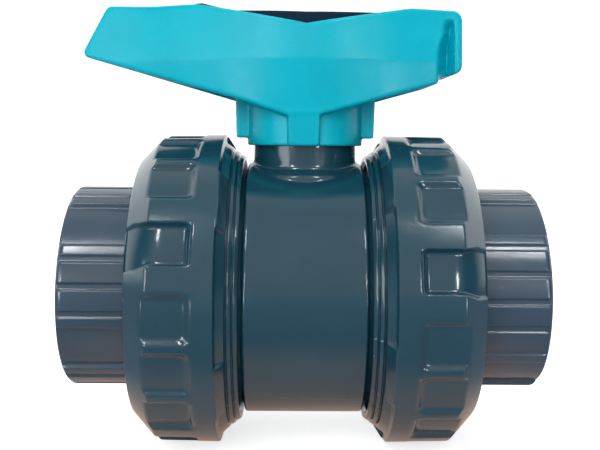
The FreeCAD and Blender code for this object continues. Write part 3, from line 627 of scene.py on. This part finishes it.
HOLLOW = [
    (-74.0, 50.0, 0.0), (-74.0, 92.0, 2.0), (-70.0, 98.5, 2.0), (-44.5, 99.5, 2.0),
    (-44.5, WEB_LOW, 2.0), (45.0, WEB_LOW, 2.0), (45.0, 50.0, 0.0),
]
ABOVE_ALL = 125.0
INSERT_SEAT = [
    (SEAT_LEFT, WEB_HIGH, 0.6), (SEAT_RIGHT, WEB_HIGH, 0.6), (SEAT_RIGHT, ABOVE_ALL, 0.0),
    (SEAT_LEFT, ABOVE_ALL, 0.0),
]
INSERT_GAP = 0.3
INSERT_SIDE = [
    (SEAT_LEFT + INSERT_GAP, 93.0, 0.6), (SEAT_LEFT + INSERT_GAP, 104.3, 0.6), (-38.0, 104.3, 1.0),
    (-27.0, 101.2, 2.0), (0.0, 100.3, 1.0), (28.0, 100.8, 2.0), (35.6, 102.6, 1.5),
    (SEAT_RIGHT - INSERT_GAP, 102.6, 0.6), (SEAT_RIGHT - INSERT_GAP, 93.0, 0.6),
]
FINGER_DISH = [
    (-17.0, 98.2, 1.5), (-12.0, 97.2, 1.5), (12.0, 97.2, 1.5), (17.0, 98.2, 1.5),
    (17.0, 110.0, 0.0), (-17.0, 110.0, 0.0),
]


def upright_wall(x, y, inset):
    """Distance outside the lever's plan outline, moved inward and drawn straight up."""
    return np.abs(y) - curve_through(x, HALF_WIDTHS) + inset


def lever_wall(x, y, z, inset):
    """Distance outside the lever's two sides moved inward by inset. They lean in both ways from a
    crease, and on the outside each has a scoop behind the end lip."""
    above = z - CREASE - 0.036 * ramp(-x - 15.0, 5.0)
    fold = np.sqrt(above * above + 0.5) - 0.7
    lean = np.where(above > 0, LEAN_ABOVE, LEAN_BELOW)
    start = SCOOP_START + 0.45 * ramp(z - 88.5, 3.0)
    share = smooth_min((x - start) / 4.0, (SCOOP_END - x) / 1.8, 0.25)
    scoop = SCOOP_DEPTH * ramp(share - 0.1, 0.15) * (1 - ease(z, 96.0, 99.5)) * (inset == 0)
    return (upright_wall(x, y, inset) + scoop + lean * fold) * 0.992


def handle():
    """Lever with a skirted hub. It is hollow from below, and its top holds the key insert."""
    side_view = outline_field(SIDE_VIEW)
    hollow_view = outline_field(HOLLOW)
    seat_view = outline_field(INSERT_SEAT)

    def field(x, y, z):
        wall = lever_wall(x, y, z, 0)
        inner = lever_wall(x, y, z, WALL)
        out = np.sqrt(x * x + y * y)
        shape = smooth_max(wall, side_view(x, z) - 0.35, 1.4)
        hollow = smooth_max(smooth_max(inner, hollow_view(x, z), 1.5), 24.0 - out, 1.5)
        stiffener = np.maximum(np.abs(y) - 1.2, np.abs(x + 59.0) - 15.0)
        hollow = smooth_max(hollow, -stiffener, 1.0)
        shape = smooth_max(shape, -hollow, 0.7)
        flare = 0.035 * (z - 66.0)
        hub = smooth_max(out - HUB - 0.2 * flare, np.maximum(HUB_LOW - z, z - WEB_HIGH + 1), 0.9)
        lugs = smooth_max(np.abs(x) - LUG_REACH - flare, np.abs(y) - LUG_HALF, 0.9)
        lugs = smooth_max(lugs, np.maximum(55.5 - z, z - 72.0), 0.9)
        rib = smooth_max(np.abs(x + 0.7) - RIB_HALF - 0.5 * flare, wall, 0.9)
        rib = smooth_max(rib, np.maximum(HUB_LOW - z, z - RIB_TOP), 0.9)
        shape = smooth_min(shape, smooth_min(hub, smooth_min(lugs, rib, 0.7), 0.7), 0.8)
        seat = smooth_max(upright_wall(x, y, SEAT_INSET), seat_view(x, z), 0.5)
        shape = smooth_max(shape, -seat, 0.6)
        shape = smooth_max(shape, -np.maximum(out - SKIRT, z - HUB_CEILING), 0.6)
        square = np.maximum(np.maximum(np.abs(x), np.abs(y)) - SQUARE_HALF, z - SQUARE_TOP)
        return np.maximum(shape, -square)

    vertices, faces = surface_net(field, (-86.5, -30.5, 51.0), (60.0, 30.5, 107.0), 0.5)
    new_piece("handle_look", vertices, faces, teal, "handle")


def key_insert():
    """Bar that fills the lever's top, with a spine and two prongs underneath."""
    side_view = outline_field(INSERT_SIDE)
    dish_view = outline_field(FINGER_DISH)

    def field(x, y, z):
        plate = smooth_max(upright_wall(x, y, SEAT_INSET + INSERT_GAP), side_view(x, z), 0.8)
        dish = smooth_max(np.abs(y) - 7.0, dish_view(x, z), 1.5)
        plate = smooth_max(plate, -dish, 0.8)
        level = np.maximum(WEB_HIGH + INSERT_GAP - z, z - 95.0)
        spine = np.maximum(np.abs(x + 0.75) - 38.4, level)
        spine = smooth_max(np.abs(y) - 2.0, spine, 0.4)
        prongs = np.maximum(np.abs(np.abs(x) - 28.75) - 2.45, level)
        prongs = smooth_max(np.abs(y) - 2.8, prongs, 0.4)
        return smooth_min(plate, np.minimum(spine, prongs), 0.6)

    vertices, faces = surface_net(field, (-42.5, -27.0, 86.0), (41.0, 27.0, 106.5), 0.5)
    new_piece("key_insert_look", vertices, faces, black, "key")


handle()
key_insert()


# ---------------------------------------------------------------- pieces kept from the frame

FINISHES = {
    "ball": ball_finish,
    "ball_seat_left": ptfe,
    "ball_seat_right": ptfe,
    "stem_thrust_washer": ptfe,
    "stem": pvc_inner,
    "seat_carrier": pvc_inner,
}
for name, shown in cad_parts.items():
    if shown.hide_render:
        continue
    finish = FINISHES.get(name, rubber if "o_ring" in name else pvc_inner)
    shown.data.materials.clear()
    shown.data.materials.append(finish)


# ---------------------------------------------------------------- stage, light and camera

FLOOR_SIZE = 3.0
FLOOR_SEEN, FLOOR_SEEN_GLOW = (0.95, 0.95, 0.95), (0.7, 0.7, 0.7)
FLOOR_LIGHTING = (0.57, 0.60, 0.66)
# Painted reflection: the floor colours and glows that only mirrored rays see, warm near the valve
# and dim further away.
MIRRORED_FAR, MIRRORED_FAR_GLOW = (0.36, 0.40, 0.50), (0.05, 0.05, 0.05)
MIRRORED_NEAR, NEAR_GLOW = (1.0, 0.70, 0.54), 0.35
AIM = (0, 0, 0.06)
PIXELS_WIDE, FOCAL_PIXELS, SENSOR_WIDTH = 600.0, 905.0, 36.0
CAMERA_PLACE = (-0.0050, -0.3430, 0.1105)
CAMERA_TURN = math.radians(-0.83)
CAMERA_ROLL = math.radians(0.5)
SHIFT = (-0.0079, -0.1382)


def floor():
    """A plain pale floor. Mirrored rays see painted reflections on it: a warm glow close to the
    valve and a dim one further away.
    Its own light on the valve is slightly cool."""
    material = bpy.data.materials.new("pale_floor")
    material.use_nodes = True
    tree = material.node_tree
    shader = tree.nodes["Principled BSDF"]
    path = node(tree, "ShaderNodeLightPath")
    seen = path.outputs["Is Camera Ray"]
    mirrored = path.outputs["Is Glossy Ray"]
    coordinates = node(tree, "ShaderNodeTexCoord").outputs["Object"]
    place = node(tree, "ShaderNodeSeparateXYZ", Vector=coordinates)
    across = between(tree, maths(tree, "ABSOLUTE", place.outputs["Y"]), 0.055, 0.09, 1.0, 0.0)
    along = between(tree, maths(tree, "ABSOLUTE", place.outputs["X"]), 0.07, 0.11, 1.0, 0.0)
    near = maths(tree, "MULTIPLY", across, along)
    colour = blend_colours(tree, seen, FLOOR_LIGHTING, FLOOR_SEEN)
    mirrored_colour = blend_colours(tree, near, MIRRORED_FAR, MIRRORED_NEAR)
    colour = blend_colours(tree, mirrored, colour, mirrored_colour)
    tree.links.new(colour, shader.inputs["Base Color"])
    glow = blend_colours(tree, seen, (0.0, 0.0, 0.0), FLOOR_SEEN_GLOW)
    # Painted reflection: mirrored rays see the floor glow, warm close to the valve and dim further
    # away.
    near_glow = shade(MIRRORED_NEAR, NEAR_GLOW)
    mirrored_glow = blend_colours(tree, near, MIRRORED_FAR_GLOW, near_glow)
    glow = blend_colours(tree, mirrored, glow, mirrored_glow)
    tree.links.new(glow, shader.inputs["Emission Color"])
    shader.inputs["Emission Strength"].default_value = 1.0
    shader.inputs["Roughness"].default_value = 0.8
    shader.inputs["Specular IOR Level"].default_value = 0.1
    size = FLOOR_SIZE
    corners = [(-size, -size, 0), (size, -size, 0), (size, size, 0), (-size, size, 0)]
    mesh = bpy.data.meshes.new("floor")
    mesh.from_pydata(corners, [], [(0, 1, 2, 3)])
    mesh.materials.append(material)
    made = bpy.data.objects.new("floor", mesh)
    bpy.context.scene.collection.objects.link(made)


def surroundings():
    """A white light tent. The camera sees it white, and mirrored it is brightest at the back of
    the sides and dim at their front. It gives little light of its own."""
    world = bpy.data.worlds.new("tent")
    bpy.context.scene.world = world
    world.use_nodes = True
    tree = world.node_tree
    background = tree.nodes["Background"]
    coordinates = node(tree, "ShaderNodeTexCoord").outputs["Generated"]
    direction = node(tree, "ShaderNodeSeparateXYZ", Vector=coordinates)
    sideways = maths(tree, "ABSOLUTE", direction.outputs["X"])
    front = between(tree, sideways, 0.45, 0.8, 0.85, 0.12)
    back = between(tree, sideways, 0.3, 0.65, 1.2, 1.9)
    tent = between(tree, direction.outputs["Y"], -0.15, 0.15, front, back)
    path = node(tree, "ShaderNodeLightPath")
    dimmed = between(tree, path.outputs["Is Diffuse Ray"], 0.0, 1.0, 1.0, 0.28)
    lit = maths(tree, "MULTIPLY", tent, dimmed)
    bright = maths(tree, "MAXIMUM", lit, path.outputs["Is Camera Ray"])
    background.inputs["Color"].default_value = (1.0, 1.0, 1.0, 1.0)
    tree.links.new(bright, background.inputs["Strength"])


def area_light(name, place, target, size, power, mirrored):
    """A rectangular light that faces a target. A mirrored one only makes highlights, and one that
    isn't only lights."""
    light = bpy.data.lights.new(name, "AREA")
    light.shape = "RECTANGLE"
    light.size, light.size_y = size
    light.energy = power
    made = bpy.data.objects.new(name, light)
    made.location = place
    facing = made.location - Vector(target)
    made.rotation_euler = facing.to_track_quat("Z", "Y").to_euler()
    made.visible_glossy = mirrored
    made.visible_diffuse = not mirrored
    made.visible_camera = False
    bpy.context.scene.collection.objects.link(made)


def camera():
    """Level camera with a lens shift. The shift is dropped when the camera is moved elsewhere."""
    data = bpy.data.cameras.new("camera")
    data.sensor_width = SENSOR_WIDTH
    data.lens = FOCAL_PIXELS / PIXELS_WIDE * SENSOR_WIDTH
    data.clip_start, data.clip_end = 0.01, 20.0
    made = bpy.data.objects.new("camera", data)
    made.location = CAMERA_PLACE
    turn = Euler((math.radians(90.0), 0.0, CAMERA_TURN)).to_matrix()
    made.rotation_euler = (turn @ Euler((0.0, 0.0, CAMERA_ROLL)).to_matrix()).to_euler()
    bpy.context.scene.collection.objects.link(made)
    bpy.context.scene.camera = made
    for path, amount in zip(("shift_x", "shift_y"), SHIFT):
        driver = data.driver_add(path).driver
        height = driver.variables.new()
        height.name = "height"
        height.type = "TRANSFORMS"
        height.targets[0].id = made
        height.targets[0].transform_type = "LOC_Z"
        driver.expression = f"{amount} * (abs(height - {CAMERA_PLACE[2]}) < 0.00001)"


floor()
surroundings()
area_light("soft_front", (-0.35, -1.4, 0.75), AIM, (1.6, 1.0), 21.0, False)
area_light("soft_top", (0.1, 0.0, 1.4), AIM, (2.2, 2.2), 14.0, False)
for side in (-1, 1):
    area_light(f"window_{side}", (0.41 * side, -0.85, 1.05), AIM, (0.08, 0.34), 4.6, True)
    area_light(f"strip_{side}", (0.55 * side, -1.05, 0.29), AIM, (0.08, 0.18), 2.2, True)
    low_place = (0.30 * side, -0.38, 0.03)
    area_light(f"low_{side}", low_place, (0, -0.05, 0.05), (0.02, 0.05), 0.26, True)
area_light("sheen", (-0.77, -0.68, 0.16), (-0.06, 0, 0.09), (0.45, 0.45), 3.2, True)
camera()
bpy.context.scene.view_settings.view_transform = "Standard"
